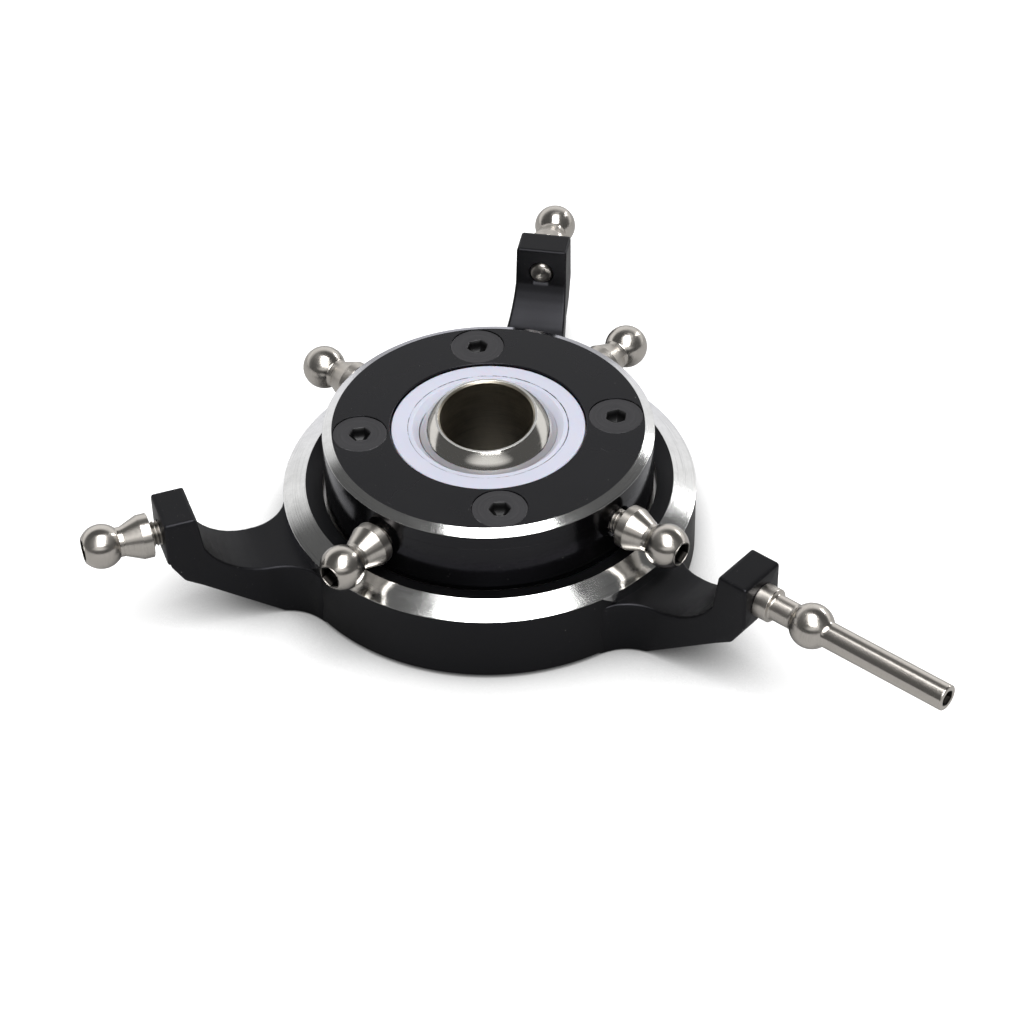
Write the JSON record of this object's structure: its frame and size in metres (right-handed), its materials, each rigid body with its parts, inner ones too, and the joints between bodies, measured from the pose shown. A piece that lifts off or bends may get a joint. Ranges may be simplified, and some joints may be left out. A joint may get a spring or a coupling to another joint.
{
  "type": "helicopter swashplate",
  "caption": "Helicopter swashplate: a spinning star with link balls on a bearing in a three-armed fixed ring, tilting on a centre ball, with a long guide pin on one arm.",
  "frame": {"origin": "centre of the centre ball, on the main shaft axis, in the plane of all seven link balls", "axes": "+Z square to the plane of the seven link balls, up out of the white seat ring (the main shaft once the loose ball is turned upright, ball_lean at -6.7 degrees); +X out along the arm with the guide pin"},
  "size_m": [0.0852, 0.079, 0.0185],
  "materials": {
    "black_anodised_ring": "satin black anodised, with a bright turned chamfer round the top",
    "black_anodised_star": "satin black anodised, glossier rim, with a bright turned chamfer",
    "black_oxide": "black oxide on steel",
    "stud_steel": "turned stainless steel, satin",
    "polished_ball": "polished nickel-plated steel",
    "white_plastic": "white acetal",
    "bearing_steel": "ground bearing steel",
    "cage_brass": "plain brass",
    "spring_steel": "phosphated spring steel"
  },
  "bodies": {
    "fixed_star": {"fixed_ring": "black_anodised_ring", "bearing_outer_race": "bearing_steel", "bearing_shield_top": "bearing_steel", "bearing_shield_bottom": "bearing_steel", "bearing_circlip": "spring_steel", "guide_pin_stud": "stud_steel", "arm_ball_stud_back": "stud_steel", "arm_ball_stud_left": "stud_steel"},
    "rotating_star": {"star_body": "black_anodised_star", "star_top_plate": "black_anodised_star", "star_plate_screws": "black_oxide", "ball_seat_ring": "white_plastic", "bearing_inner_race": "bearing_steel", "hub_snap_ring": "spring_steel", "star_ball_stud_1": "stud_steel", "star_ball_stud_2": "stud_steel", "star_ball_stud_3": "stud_steel", "star_ball_stud_4": "stud_steel"},
    "bearing_train": {"bearing_cage": "cage_brass", "bearing_balls": "bearing_steel"},
    "liner": {"liner_upper": "white_plastic", "liner_lower": "white_plastic"},
    "ball": {"center_ball": "polished_ball"}
  },
  "joints": [
    {"name": "star_spin", "type": "hinge", "parent": "fixed_star", "child": "rotating_star", "pos_m": [0, 0, 0], "axis": [0, 0, 1], "continuous": true},
    {"name": "cage_spin", "type": "hinge", "parent": "fixed_star", "child": "bearing_train", "pos_m": [0, 0, -0.0066], "axis": [0, 0, 1], "continuous": true},
    {"name": "liner_turn", "type": "hinge", "parent": "rotating_star", "child": "liner", "pos_m": [0, 0, 0], "axis": [0, 0, 1], "continuous": true},
    {"name": "ball_lean", "type": "hinge", "parent": "liner", "child": "ball", "pos_m": [0, 0, 0], "axis": [0.8878, 0.4602, 0], "range_deg": [-21.7, 8.3]}
  ],
  "couplings": [
    {"joint": "cage_spin", "follows": "star_spin", "ratio": 0.4672}
  ]
}
